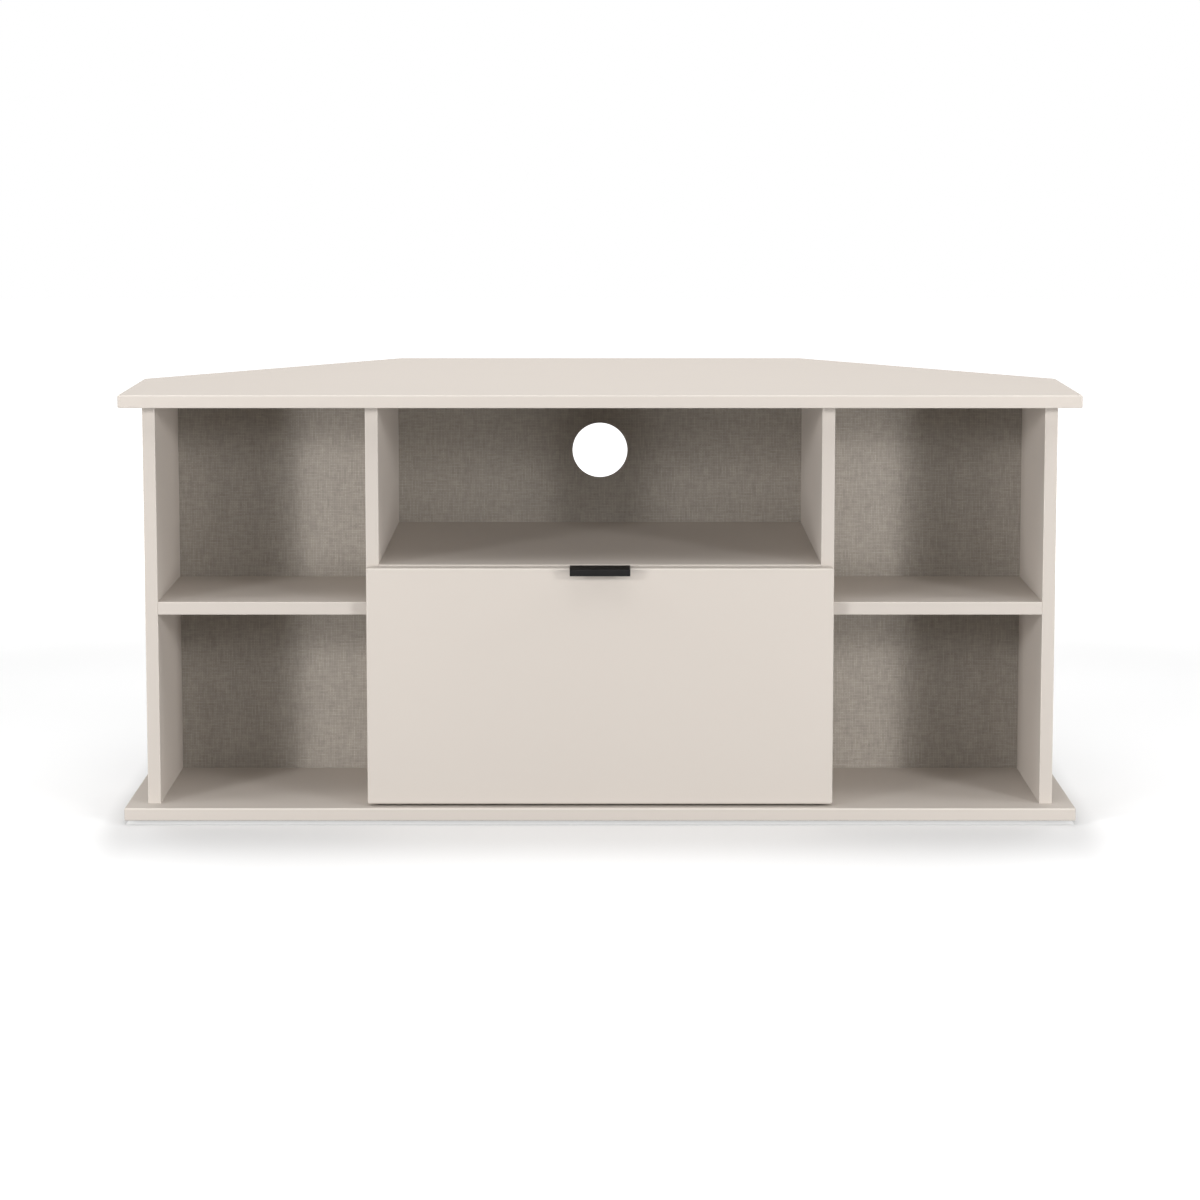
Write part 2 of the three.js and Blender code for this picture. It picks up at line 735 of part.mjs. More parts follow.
function makeGlides() {
  const radius = glideDiameter / 2;
  const pin = glidePin / 2;
  const padTop = glideHeight - jointGap;
  const geometry = turned([
    [0, 0],
    [radius - glideEdgeBevel, 0],
    [radius, glideEdgeBevel],
    [radius, padTop],
    [pin, padTop],
    [pin, glideHeight + glidePinLength - glidePin],
    [0, glideHeight + glidePinLength],
  ], rollerSides);
  return glideSpots.map(({ name, x, y }) => piece(`glide_${name}`, geometry, glidePlastic, vec(x, y, 0)));
}

// The whole cabinet
const rollers = sides.map(makeRollers);

const carcass = new THREE.Group();
carcass.add(makeTopPlate(), makeBasePlate(), ...uprights.map(makeUpright), ...makeShelves());
carcass.add(...makeBackPanels(), ...makeBaseScrews(), ...makeDowels(), ...makeGlides());
carcass.add(...sides.map(makeCabinetRunner), ...sides.flatMap(makeCabinetScrews));
carcass.add(...rollers.map(({ front }) => front));

const drawer = new THREE.Group();
drawer.add(makeDrawerFront(), ...sides.map(makeDrawerSide), makeDrawerBack(), makeDrawerBottom());
drawer.add(makeHandle(), ...makeHandleScrews());
drawer.add(...sides.map(makeDrawerRunner), ...sides.flatMap(makeDrawerScrews));
drawer.add(...rollers.map(({ rear }) => rear));

const cabinet = new THREE.Group();
cabinet.add(carcass, drawer);
cabinet.position.y = -(overallDepth + frontFace - handleProjection) / 2;

export default cabinet;
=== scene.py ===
"""Corner TV cabinet in cashmere board: the finish of every piece, the fittings in full detail,
and the floor, lamps and camera round it.

The file is laid out as an add-on and is run as a script. Lengths are in metres, in the frame of
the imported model: X to the right, Y to the back, Z up, with the floor at 0.
"""

import json
import math

import bmesh
import bpy
from bpy.props import FloatProperty, FloatVectorProperty, PointerProperty
from bpy.types import Operator, Panel, PropertyGroup
from mathutils import Matrix, Vector

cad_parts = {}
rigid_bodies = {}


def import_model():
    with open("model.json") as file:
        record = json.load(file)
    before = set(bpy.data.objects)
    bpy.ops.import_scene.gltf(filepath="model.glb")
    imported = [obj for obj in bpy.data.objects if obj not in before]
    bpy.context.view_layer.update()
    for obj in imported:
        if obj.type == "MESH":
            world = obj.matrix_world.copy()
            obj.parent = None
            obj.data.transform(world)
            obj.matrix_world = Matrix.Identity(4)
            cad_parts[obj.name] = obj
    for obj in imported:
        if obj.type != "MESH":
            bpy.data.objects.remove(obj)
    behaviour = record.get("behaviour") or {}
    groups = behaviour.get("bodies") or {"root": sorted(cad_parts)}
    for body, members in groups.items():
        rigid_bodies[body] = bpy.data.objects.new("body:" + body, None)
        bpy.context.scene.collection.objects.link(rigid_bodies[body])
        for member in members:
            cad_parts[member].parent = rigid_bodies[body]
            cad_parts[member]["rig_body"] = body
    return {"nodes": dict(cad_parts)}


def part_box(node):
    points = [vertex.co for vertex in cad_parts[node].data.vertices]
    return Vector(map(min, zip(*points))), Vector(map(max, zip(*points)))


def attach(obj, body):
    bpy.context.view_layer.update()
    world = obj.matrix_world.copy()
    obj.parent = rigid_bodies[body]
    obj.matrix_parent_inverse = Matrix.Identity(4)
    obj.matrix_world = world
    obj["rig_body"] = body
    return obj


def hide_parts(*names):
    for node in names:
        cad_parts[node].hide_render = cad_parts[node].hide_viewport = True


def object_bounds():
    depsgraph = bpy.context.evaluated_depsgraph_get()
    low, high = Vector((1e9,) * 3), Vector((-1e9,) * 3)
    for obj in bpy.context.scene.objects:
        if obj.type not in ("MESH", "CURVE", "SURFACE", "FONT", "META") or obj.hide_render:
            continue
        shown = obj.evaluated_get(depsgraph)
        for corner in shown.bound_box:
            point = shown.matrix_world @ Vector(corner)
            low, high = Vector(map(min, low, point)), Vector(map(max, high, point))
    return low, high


bl_info = {
    "name": "Corner TV Cabinet",
    "version": (1, 0, 0),
    "blender": (4, 5, 0),
    "location": "3D View > Sidebar > Cabinet",
    "description": "Finishes, fittings and studio for a corner TV cabinet with one drawer",
    "category": "Object",
}

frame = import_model()
cad_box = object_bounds()

SIDES = ("left", "right")
UPRIGHTS = ("side_panel", "divider")
ACROSS, DEEP, UP = (1, 0, 0), (0, 1, 0), (0, 0, 1)
SMOOTH_ANGLE = math.radians(38)
MERGE_DISTANCE = 0.00001
MM_PER_METRE = 1000
POINT_SHARE = 0.05  # blunt end of a point, against the width behind it


def paint(red, green, blue):
    """Linear colour of a tone that is given as it looks on a screen, 0 to 255."""
    return tuple(((tone / 255 + 0.055) / 1.055) ** 2.4 for tone in (red, green, blue))


def colour_property(name, description, tone):
    return FloatVectorProperty(
        name=name,
        description=description,
        subtype="COLOR",
        size=3,
        min=0,
        max=1,
        default=paint(*tone),
    )


def length_property(name, description, size):
    return FloatProperty(
        name=name,
        description=description,
        default=size,
        min=0,
        unit="LENGTH",
        subtype="DISTANCE",
        precision=5,
    )


def share_property(name, description, share):
    return FloatProperty(
        name=name, description=description, default=share, min=0, max=1, subtype="FACTOR"
    )


class CabinetBoardSettings(PropertyGroup):
    """Lacquered and wrapped boards."""

    lacquer: colour_property("Lacquer", "Colour of the cashmere boards", (194, 186, 178))
    # The arris colour is lighter than the lacquer and is mixed over rounded edges as far as the arris
    # cover says: a painted highlight along the rounded edges
    arris: colour_property("Arris", "Colour of the rounded edges, thinner in lacquer", (213, 206, 198))
    drawer_foil: colour_property("Drawer foil", "Colour of the drawer box", (191, 184, 174))
    tone_change: share_property("Tone change", "Cloudy change of tone over a board", 0.005)
    tone_patch: length_property("Tone patch", "Width of a patch of tone in the lacquer", 0.3)
    foil_patch: length_property("Foil patch", "Width of a patch of tone in the foil", 0.12)
    arris_highlight_cover: share_property("Arris cover", "How far its colour covers a rounded edge", 0.7)
    edge_band: share_property("Edge band", "Tone of an edge band against the faces", 0.94)
    ripple_size: length_property("Ripple size", "Width of the ripples in the lacquer", 0.0022)
    ripple_height: length_property("Ripple height", "Height of those ripples", 0.00001)
    least_roughness: share_property("Least roughness", "Lacquer where it is not rubbed", 0.68)
    most_roughness: share_property("Most roughness", "Lacquer where it is rubbed", 0.71)
    foil_roughness: share_property("Foil roughness", "Roughness of the drawer box", 0.5)
    sheen: share_property("Sheen", "Strength of the lacquer's reflection", 0.4)


class CabinetLinenSettings(PropertyGroup):
    """Linen print on the back panels and the drawer's bottom."""

    warp: colour_property("Warp", "Colour of the upright threads", (162, 155, 146))
    weft: colour_property("Weft", "Colour of the level threads", (157, 150, 141))
    gap: colour_property("Gap", "Colour between the threads", (128, 121, 112))
    pitch: length_property("Thread pitch", "Distance between two threads", 0.0021)
    slub: share_property("Slub", "Difference from thread to thread", 0.27)
    relief: length_property("Relief", "Height of the threads", 0.00005)
    roughness: share_property("Roughness", "Roughness of the print", 0.48)
    reverse: colour_property("Reverse", "Colour of the bare side of the panel", (128, 101, 73))
    reverse_roughness: share_property("Reverse roughness", "Roughness of the bare side", 0.85)


class CabinetFittingSettings(PropertyGroup):
    """Handle, runners, rollers, screws, dowels and glides."""

    handle: colour_property("Handle", "Powder coat of the handle", (22, 21, 21))
    runner: colour_property("Runner", "Epoxy coat of the runners", (210, 208, 202))
    nylon: colour_property("Rollers", "Moulded nylon of the rollers", (214, 213, 206))
    zinc: colour_property("Zinc", "Plating of the screws", (176, 178, 180))
    beech: colour_property("Beech", "Bare wood of the dowels", (182, 153, 114))
    glide: colour_property("Glides", "Plastic of the glides", (45, 43, 41))
    grain: length_property("Grain", "Width of the grains in coats and mouldings", 0.0004)
    worn: share_property("Worn", "How far zinc shows where a runner's coat is rubbed", 0.2)
    wood_roughness: share_property("Wood roughness", "Roughness of the dowels", 0.7)
    wood_relief: length_property("Wood relief", "Height of the dowels' grain", 0.00004)


class CabinetStageSettings(PropertyGroup):
    """Floor, lamps and camera."""

    floor: colour_property("Floor", "Colour of the floor", (229, 229, 229))
    bounce: colour_property("Bounce", "Colour that the floor throws back", (147, 147, 147))
    floor_reach: length_property("Floor reach", "Half the width of the floor", 9.0)
    floor_roughness: share_property("Floor roughness", "Roughness of the floor", 0.9)
    lens: length_property("Lens", "Focal length of the camera", 0.08939)
    camera_distance: length_property("Camera distance", "Camera to the middle of the cabinet", 3.65165)
    camera_height: length_property("Camera height", "Camera above the floor", 0.8405)
    camera_tilt: FloatProperty(
        name="Camera tilt",
        description="Angle that the camera looks down",
        default=math.radians(6.116),
        subtype="ANGLE",
        unit="ROTATION",
    )
    surround: share_property("Surround", "Strength of the even light from all round", 0.02)


SETTINGS = {
    "cabinet_boards": CabinetBoardSettings,
    "cabinet_linen": CabinetLinenSettings,
    "cabinet_fittings": CabinetFittingSettings,
    "cabinet_stage": CabinetStageSettings,
}


class Wiring:
    """Places nodes in one node tree and joins them up."""

    def __init__(self, tree):
        self.tree = tree

    def node(self, kind, inputs=None, **choices):
        placed = self.tree.nodes.new(kind)
        placed.location = (len(self.tree.nodes) * 180, 0)
        for name, choice in choices.items():
            setattr(placed, name, choice)
        for name, value in (inputs or {}).items():
            self.feed(placed.inputs[name], value)
        return placed

    def feed(self, socket, value):
        if isinstance(value, bpy.types.NodeSocket):
            self.tree.links.new(value, socket)
        elif socket.type == "RGBA" and len(value) == 3:
            socket.default_value = (*value, 1)
        else:
            socket.default_value = value

    def maths(self, operation, *values, clamp=False):
        inputs = dict(enumerate(values))
        placed = self.node("ShaderNodeMath", inputs, operation=operation, use_clamp=clamp)
        return placed.outputs[0]

    def vector_maths(self, operation, *values):
        placed = self.node("ShaderNodeVectorMath", operation=operation)
        for socket, value in zip(placed.inputs, values):
            self.feed(socket, value)
        scalar = operation in ("DOT_PRODUCT", "LENGTH", "DISTANCE")
        return placed.outputs["Value" if scalar else "Vector"]

    def scaled(self, vector, factor):
        placed = self.node("ShaderNodeVectorMath", {0: vector, "Scale": factor}, operation="SCALE")
        return placed.outputs["Vector"]

    def ramp(self, value, low, high, to_low=0.0, to_high=1.0):
        inputs = {"Value": value, 1: low, 2: high, 3: to_low, 4: to_high}
        placed = self.node("ShaderNodeMapRange", inputs, interpolation_type="SMOOTHSTEP")
        return placed.outputs[0]

    def noise(self, vector, scale, detail=2.0, roughness=0.5):
        inputs = {"Vector": vector, "Scale": scale, "Detail": detail, "Roughness": roughness}
        return self.node("ShaderNodeTexNoise", inputs).outputs["Fac"]

    def mixed(self, factor, first, second, blend="MIX"):
        placed = self.node("ShaderNodeMix", data_type="RGBA", blend_type=blend)
        for socket, value in ((0, factor), (6, first), (7, second)):
            self.feed(placed.inputs[socket], value)
        return placed.outputs[2]

    def split(self, vector):
        return self.node("ShaderNodeSeparateXYZ", {0: vector}).outputs

    def joined(self, x, y, z=0.0):
        return self.node("ShaderNodeCombineXYZ", {0: x, 1: y, 2: z}).outputs[0]

    def seen(self):
        """1 where the camera sees the surface, also through something clear, and 0 for other rays."""
        rays = self.node("ShaderNodeLightPath").outputs
        return self.maths("ADD", rays["Is Camera Ray"], rays["Is Transmission Ray"], clamp=True)


def shader_group(name, sockets_in, sockets_out, wire):
    """The named shader node group, made by wire(wiring, inputs) the first time it is asked for."""
    tree = bpy.data.node_groups.get(name)
    if tree:
        return tree
    tree = bpy.data.node_groups.new(name, "ShaderNodeTree")
    for direction, sockets in (("INPUT", sockets_in), ("OUTPUT", sockets_out)):
        for label, kind in sockets.items():
            tree.interface.new_socket(
                name=label, in_out=direction, socket_type=f"NodeSocket{kind}"
            )
    wiring = Wiring(tree)
    entry = wiring.node("NodeGroupInput")
    results = wire(wiring, entry.outputs)
    wiring.node("NodeGroupOutput", results)
    return tree


def soft_tone_group():
    """Cloudy change of tone: a colour comes out a little lighter or darker in soft patches."""

    def wire(wiring, given):
        scale = wiring.maths("DIVIDE", 1.0, given["Patch Size"])
        cloud = wiring.noise(given["Vector"], scale, detail=3.0)
        swing = wiring.ramp(cloud, 0.25, 0.75, -1.0, 1.0)
        factor = wiring.maths("MULTIPLY_ADD", swing, given["Change"], 1.0)
        return {"Colour": wiring.scaled(given["Colour"], factor)}

    return shader_group(
        "soft tone",
        {"Vector": "Vector", "Colour": "Color", "Patch Size": "Float", "Change": "Float"},
        {"Colour": "Color"},
        wire,
    )


def ripple_group():
    """Fine ripples of a sprayed or wrapped face."""
    finer, fine_height = 4.3, 0.35  # the second layer of ripples against the first

    def wire(wiring, given):
        scale = wiring.maths("DIVIDE", 1.0, given["Size"])
        broad = wiring.noise(given["Vector"], scale, detail=1.0)
        fine = wiring.noise(given["Vector"], wiring.maths("MULTIPLY", scale, finer))
        return {"Height": wiring.maths("MULTIPLY_ADD", fine, fine_height, broad)}

    return shader_group("ripple", {"Vector": "Vector", "Size": "Float"}, {"Height": "Float"}, wire)


def arris_group():
    """Masks of a board's rounded edges and of its narrow faces, from the way the surface faces."""

    def wire(wiring, given):
        facing = wiring.node("ShaderNodeTexCoord").outputs["Normal"]
        along = wiring.maths("ABSOLUTE", wiring.vector_maths("DOT_PRODUCT", facing, given["Across"]))
        rising = wiring.ramp(along, 0.05, 0.4)
        falling = wiring.ramp(along, 0.6, 0.97, 1.0, 0.0)
        return {
            "Arris": wiring.maths("MULTIPLY", rising, falling),
            "Edge": wiring.ramp(along, 0.1, 0.6, 1.0, 0.0),
        }

    return shader_group("arris", {"Across": "Vector"}, {"Arris": "Float", "Edge": "Float"}, wire)


def facing_group():
    """Mask of the faces that look one way."""

    def wire(wiring, given):
        facing = wiring.node("ShaderNodeTexCoord").outputs["Normal"]
        towards = wiring.vector_maths("DOT_PRODUCT", facing, given["Direction"])
        return {"Mask": wiring.ramp(towards, 0.55, 0.75)}

    return shader_group("facing", {"Direction": "Vector"}, {"Mask": "Float"}, wire)


def linen_group():
    """Plain weave with uneven threads. Threads run along X and Y of the vector."""
    sway_scale, sway_reach = 16.0, 0.6
    warp_run, weft_run = 0.1, 0.13  # change of tone from one crossing to the next along a thread
    thread_seed, weft_seed = 3.7, 9.0  # keep the noise of each thread clear of the others
    dip = 0.4  # how far a thread sinks on its way under another
    show_through = 0.35  # how much of the colour below shows through a thread
    patch_scale = 70.0  # patches where the threads of one direction show more
    fleck_scale, fleck_cover = 420.0, 0.5

    def wire(wiring, given):
        vector = given["Vector"]
        counted = wiring.vector_maths("DIVIDE", vector, given["Pitch"])
        sway = wiring.node("ShaderNodeTexNoise", {"Vector": vector, "Scale": sway_scale, "Detail": 2.0})
        moved = wiring.vector_maths("SUBTRACT", sway.outputs["Color"], (0.5, 0.5, 0.5))
        place = wiring.vector_maths("ADD", counted, wiring.scaled(moved, sway_reach))
        u, v, _ = wiring.split(place)
        column, row = wiring.maths("FLOOR", u), wiring.maths("FLOOR", v)
        stronger = wiring.ramp(wiring.noise(vector, patch_scale), 0.3, 0.7)
        weaker = wiring.maths("SUBTRACT", 1.0, stronger)

        def toned(colour, streak, patch):
            """A thread's colour, lighter and darker along it, and most so in its own patches."""
            swing = wiring.ramp(wiring.noise(streak, 1.0), 0.25, 0.75, -1.0, 1.0)
            strength = wiring.maths("MULTIPLY_ADD", patch, 0.5, 0.5)
            reach = wiring.maths("MULTIPLY", given["Slub"], strength)
            return wiring.scaled(colour, wiring.maths("MULTIPLY_ADD", swing, reach, 1.0))

        def bulge(place):
            """0 between two threads and 1 on top of one."""
            return wiring.maths("SINE", wiring.maths("MULTIPLY", wiring.maths("FRACT", place), math.pi))

        def thread_height(across, along):
            return wiring.maths("MULTIPLY", across, wiring.maths("MULTIPLY_ADD", along, dip, 1 - dip))

        own_column = wiring.maths("MULTIPLY", column, thread_seed)
        own_row = wiring.maths("MULTIPLY", row, thread_seed)
        warp_place = wiring.joined(own_column, wiring.maths("MULTIPLY", v, warp_run))
        weft_place = wiring.joined(wiring.maths("MULTIPLY", u, weft_run), own_row, weft_seed)
        warp = toned(given["Warp"], warp_place, stronger)
        weft = toned(given["Weft"], weft_place, weaker)
        parity = wiring.maths("MODULO", wiring.maths("ADD", column, row), 2.0)
        warp_over = wiring.maths("GREATER_THAN", wiring.maths("ABSOLUTE", parity), 0.5)
        across, upward = bulge(u), bulge(v)
        heights = {0: warp_over, 2: thread_height(upward, across), 3: thread_height(across, upward)}
        height = wiring.node("ShaderNodeMix", heights, data_type="FLOAT").outputs[0]
        warp_share = wiring.maths("MULTIPLY_ADD", warp_over, 1 - 2 * show_through, show_through)
        thread = wiring.mixed(warp_share, weft, warp)
        cover = wiring.ramp(height, -0.08, 0.5)
        fleck = wiring.ramp(wiring.noise(vector, fleck_scale), 0.62, 0.8, 0.0, fleck_cover)
        covered = wiring.maths("SUBTRACT", cover, fleck, clamp=True)
        return {"Colour": wiring.mixed(covered, given["Gap"], thread), "Height": height}

    return shader_group(
        "linen weave",
        {
            "Vector": "Vector",
            "Pitch": "Vector",
            "Warp": "Color",
            "Weft": "Color",
            "Gap": "Color",
            "Slub": "Float",
        },
        {"Colour": "Color", "Height": "Float"},
        wire,
    )


def hardboard_group():
    """Bare pressed fibre board: short matted fibres, lighter and darker in broad patches."""
    fibre_scale, patch_scale = 260.0, 18.0

    def wire(wiring, given):
        vector = given["Vector"]
        matted = wiring.noise(vector, fibre_scale, detail=4.0, roughness=0.7)
        fibre = wiring.ramp(matted, 0.3, 0.7, 0.8, 1.12)
        patch = wiring.ramp(wiring.noise(vector, patch_scale), 0.3, 0.7, 0.94, 1.05)
        colour = wiring.scaled(given["Colour"], wiring.maths("MULTIPLY", fibre, patch))
        return {"Colour": colour, "Height": matted}

    return shader_group(
        "hardboard",
        {"Vector": "Vector", "Colour": "Color"},
        {"Colour": "Color", "Height": "Float"},
        wire,
    )


def grain_group():
    """Even fine grain, for powder coats and moulded plastic."""
    cloud_share = 0.3  # scale of the clouds against that of the grains

    def wire(wiring, given):
        scale = wiring.maths("DIVIDE", 1.0, given["Size"])
        cells = wiring.node("ShaderNodeTexVoronoi", {"Vector": given["Vector"], "Scale": scale})
        cloud = wiring.noise(given["Vector"], wiring.maths("MULTIPLY", scale, cloud_share))
        height = wiring.maths("SUBTRACT", 1.0, cells.outputs["Distance"])
        return {"Height": wiring.maths("MULTIPLY", height, cloud), "Cloud": cloud}

    return shader_group(
        "fine grain",
        {"Vector": "Vector", "Size": "Float"},
        {"Height": "Float", "Cloud": "Float"},
        wire,
    )


def rub_group():
    """Rub marks: where a surface is a little rougher or smoother, in long soft streaks."""

    def wire(wiring, given):
        stretched = wiring.vector_maths("MULTIPLY", given["Vector"], given["Stretch"])
        streak = wiring.noise(stretched, 1.0, detail=4.0, roughness=0.6)
        return {"Mask": wiring.ramp(streak, 0.35, 0.75)}

    return shader_group("rub marks", {"Vector": "Vector", "Stretch": "Vector"}, {"Mask": "Float"}, wire)


def wood_group():
    """Straight grain of beech along Z of the vector, with short dark rays."""
    grain_scale = (900.0, 900.0, 45.0)
    ray_scale, ray_tone = (1600.0, 1600.0, 240.0), 0.62

    def wire(wiring, given):
        stretched = wiring.vector_maths("MULTIPLY", given["Vector"], grain_scale)
        grain = wiring.noise(stretched, 1.0, detail=3.0)
        flecked = wiring.vector_maths("MULTIPLY", given["Vector"], ray_scale)
        rays = wiring.ramp(wiring.noise(flecked, 1.0), 0.6, 0.75)
        toned = wiring.scaled(given["Colour"], wiring.ramp(grain, 0.3, 0.7, 0.85, 1.1))
        colour = wiring.mixed(rays, toned, wiring.scaled(given["Colour"], ray_tone))
        return {"Colour": colour, "Height": grain}

    return shader_group(
        "beech grain",
        {"Vector": "Vector", "Colour": "Color"},
        {"Colour": "Color", "Height": "Float"},
        wire,
    )


class Finish(Wiring):
    """One material: a Principled surface and what varies over it."""

    def __init__(self, name, roughness, metallic=0.0, specular=0.5):
        self.material = bpy.data.materials.new(name)
        self.material.use_nodes = True
        super().__init__(self.material.node_tree)
        self.surface = self.tree.nodes["Principled BSDF"]
        self.surface.inputs["Roughness"].default_value = roughness
        self.surface.inputs["Metallic"].default_value = metallic
        self.surface.inputs["Specular IOR Level"].default_value = specular
        self.place = self.node("ShaderNodeTexCoord").outputs["Object"]

    def group(self, tree, **inputs):
        placed = self.node("ShaderNodeGroup", node_tree=tree)
        for name, value in inputs.items():
            self.feed(placed.inputs[name.replace("_", " ").title()], value)
        return placed.outputs

    def cloudy(self, colour, patch_size, change):
        """The colour, a little lighter or darker in soft patches."""
        inputs = {"colour": colour, "patch_size": patch_size, "change": change}
        return self.group(soft_tone_group(), vector=self.place, **inputs)["Colour"]

    def rubbed(self, stretch):
        """Mask of rub marks. The stretch is their count per metre along each axis."""
        return self.group(rub_group(), vector=self.place, stretch=stretch)["Mask"]

    def set_colour(self, colour):
        self.feed(self.surface.inputs["Base Color"], colour)

    def set_roughness(self, mask, low, high):
        self.feed(self.surface.inputs["Roughness"], self.ramp(mask, 0.0, 1.0, low, high))

    def set_relief(self, height, distance):
        bump = self.node("ShaderNodeBump", {"Height": height, "Distance": distance, "Strength": 1.0})
        self.feed(self.surface.inputs["Normal"], bump.outputs[0])


def shading_tree():
    """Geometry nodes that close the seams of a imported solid's mesh and shade its curves smooth."""
    name = "smooth curves"
    tree = bpy.data.node_groups.get(name)
    if tree:
        return tree
    tree = bpy.data.node_groups.new(name, "GeometryNodeTree")
    for direction in ("INPUT", "OUTPUT"):
        tree.interface.new_socket(name="Geometry", in_out=direction, socket_type="NodeSocketGeometry")
    wiring = Wiring(tree)
    entry = wiring.node("NodeGroupInput").outputs[0]
    merged = wiring.node("GeometryNodeMergeByDistance", {0: entry, "Distance": MERGE_DISTANCE})
    plain = wiring.node("GeometryNodeSetMeshNormal", {0: merged.outputs[0], "Remove Custom": True})
    faces = wiring.node("GeometryNodeSetShadeSmooth", {0: plain.outputs[0]}, domain="FACE")
    angle = wiring.node("GeometryNodeInputMeshEdgeAngle").outputs["Unsigned Angle"]
    crease = wiring.node(
        "FunctionNodeCompare", {0: angle, 1: SMOOTH_ANGLE}, operation="GREATER_THAN"
    )
    edges = wiring.node(
        "GeometryNodeSetShadeSmooth",
        {0: faces.outputs[0], 1: crease.outputs[0], 2: False},
        domain="EDGE",
    )
    wiring.node("NodeGroupOutput", {0: edges.outputs[0]})
    return tree


def dress(piece, material):
    """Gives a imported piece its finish, with its curves shaded smooth and its flats kept flat."""
    piece.data.materials.clear()
    piece.data.materials.append(material)
    shading = piece.modifiers.new("smooth curves", "NODES")
    shading.node_group = shading_tree()
    flats = piece.modifiers.new("flat faces", "WEIGHTED_NORMAL")
    flats.keep_sharp = True


def dress_nodes(names, material):
    for name in names:
        dress(frame["nodes"][name], material)


def ring_solid(name, rings, hollow=False):
    """Closed mesh through rings of points. A hollow one joins its last ring to its first."""
    work = bmesh.new()
    laid = [[work.verts.new(point) for point in ring] for ring in rings]
    around = len(laid[0])
    for lower, upper in zip(laid, laid[1:] + laid[:1] if hollow else laid[1:]):
        for at in range(around):
            after = (at + 1) % around
            work.faces.new((lower[at], lower[after], upper[after], upper[at]))
    if not hollow:
        work.faces.new(laid[0][::-1])
        work.faces.new(laid[-1])
    bmesh.ops.recalc_face_normals(work, faces=work.faces)
    mesh = bpy.data.meshes.new(name)
    work.to_mesh(mesh)
    work.free()
    return mesh


def circle(radius, height, sides):
    """Points round Z. The radius is a number, or a function of the angle."""
    angles = [math.tau * step / sides for step in range(sides)]
    radii = [radius(angle) if callable(radius) else radius for angle in angles]
    return [
        (reach * math.cos(angle), reach * math.sin(angle), height)
        for reach, angle in zip(radii, angles)
    ]


def cut_recess(mesh, across, depth):
    """The screw's mesh with a tapered cross sunk into its head."""
    arm, blade = across / 2, across * 0.11
    overrun, taper = depth * 0.1, 0.45
    corners = [(blade, blade), (blade, arm), (-blade, arm)]
    corners += [(-blade, blade), (-arm, blade), (-arm, -blade)]
    corners += [(-x, -y) for x, y in corners]
    rings = [
        [(x * scale, y * scale, height) for x, y in corners]
        for scale, height in ((1.0, -overrun), (1.0, 0.0), (taper, depth))
    ]
    body = bpy.data.objects.new("screw_blank", mesh)
    cutter = bpy.data.objects.new("screw_recess", ring_solid("screw_recess", rings))
    for helper in (body, cutter):
        bpy.context.scene.collection.objects.link(helper)
    cut = body.modifiers.new("recess", "BOOLEAN")
    cut.object = cutter
    cut.operation = "DIFFERENCE"
    cut.solver = "EXACT"
    evaluated = body.evaluated_get(bpy.context.evaluated_depsgraph_get())
    result = bpy.data.meshes.new_from_object(evaluated)
    result.name = mesh.name
    for helper in (body, cutter):
        bpy.data.objects.remove(helper)
    return result


def screw_mesh(name, screw, head, length):
    """A screw with its head at the origin, pointing along +Z, threaded, with a cross recess."""
    sides, steps = 24, 6
    shank, pitch, under_head = screw["shank"], screw["pitch"], screw["head_height"]
    crest, core, rim = shank / 2, shank * 0.36, head / 2
    soft, ridge_width = under_head * 0.12, 0.3
    recess_width, recess_depth = head * 0.56, under_head * 0.6
    if screw["countersunk"]:
        outline = [(rim - soft, 0.0), (rim, soft * 0.6), (rim, soft), (core, under_head)]
    else:
        outline = [(rim * 0.55, 0.0), (rim * 0.85, soft), (rim, soft * 4), (rim, under_head)]
        outline.append((core, under_head))
    rings = [circle(radius, height, sides) for radius, height in outline]
    tip_length = shank * 1.2
    height, thread_end = under_head + pitch * 0.5, length - pitch * 0.2
    while height < thread_end:
        narrow = min(1.0, (length - height) / tip_length)

        def radius(angle, height=height, narrow=narrow):
            turn = (height / pitch - angle / math.tau) % 1
            ridge = max(0.0, 1 - abs(turn - 0.5) / ridge_width)
            return narrow * (core + (crest - core) * ridge)

        rings.append(circle(radius, height, sides))
        height += pitch / steps
    rings.append(circle(core * POINT_SHARE, length, sides))
    return cut_recess(ring_solid(name, rings), recess_width, recess_depth)


def dowel_mesh(name, radius, length):
    """A fluted dowel that stands on the origin, with chamfered ends."""
    sides, flutes, flute_depth = 96, 24, radius * 0.06

    def fluted(angle):
        return radius - flute_depth * (0.5 - 0.5 * math.cos(angle * flutes)) ** 2

    chamfer = radius * 0.25
    rings = [
        circle(radius - chamfer, 0.0, sides),
        circle(fluted, chamfer, sides),
        circle(fluted, length - chamfer, sides),
        circle(radius - chamfer, length, sides),
    ]
    return ring_solid(name, rings)


def roller_mesh(name, radius, width, bore):
    """A moulded roller round Z that starts at the origin: soft tread edges and a sunk web."""
    sides = 72
    soft, hub, tread, sink = radius * 0.07, bore * 1.45, radius * 0.8, width * 0.14
    half = [
        (bore, soft),
        (bore + soft, 0.0),
        (hub - soft, 0.0),
        (hub, soft),
        (hub + soft, sink),
        (tread - soft, sink),
        (tread, soft),
        (tread + soft, 0.0),
        (radius - soft * 1.4, 0.0),
        (radius - soft * 0.4, soft * 0.4),
        (radius, soft * 1.4),
    ]
    outline = half + [(reach, width - height) for reach, height in reversed(half)]
    return ring_solid(name, [circle(reach, height, sides) for reach, height in outline], hollow=True)


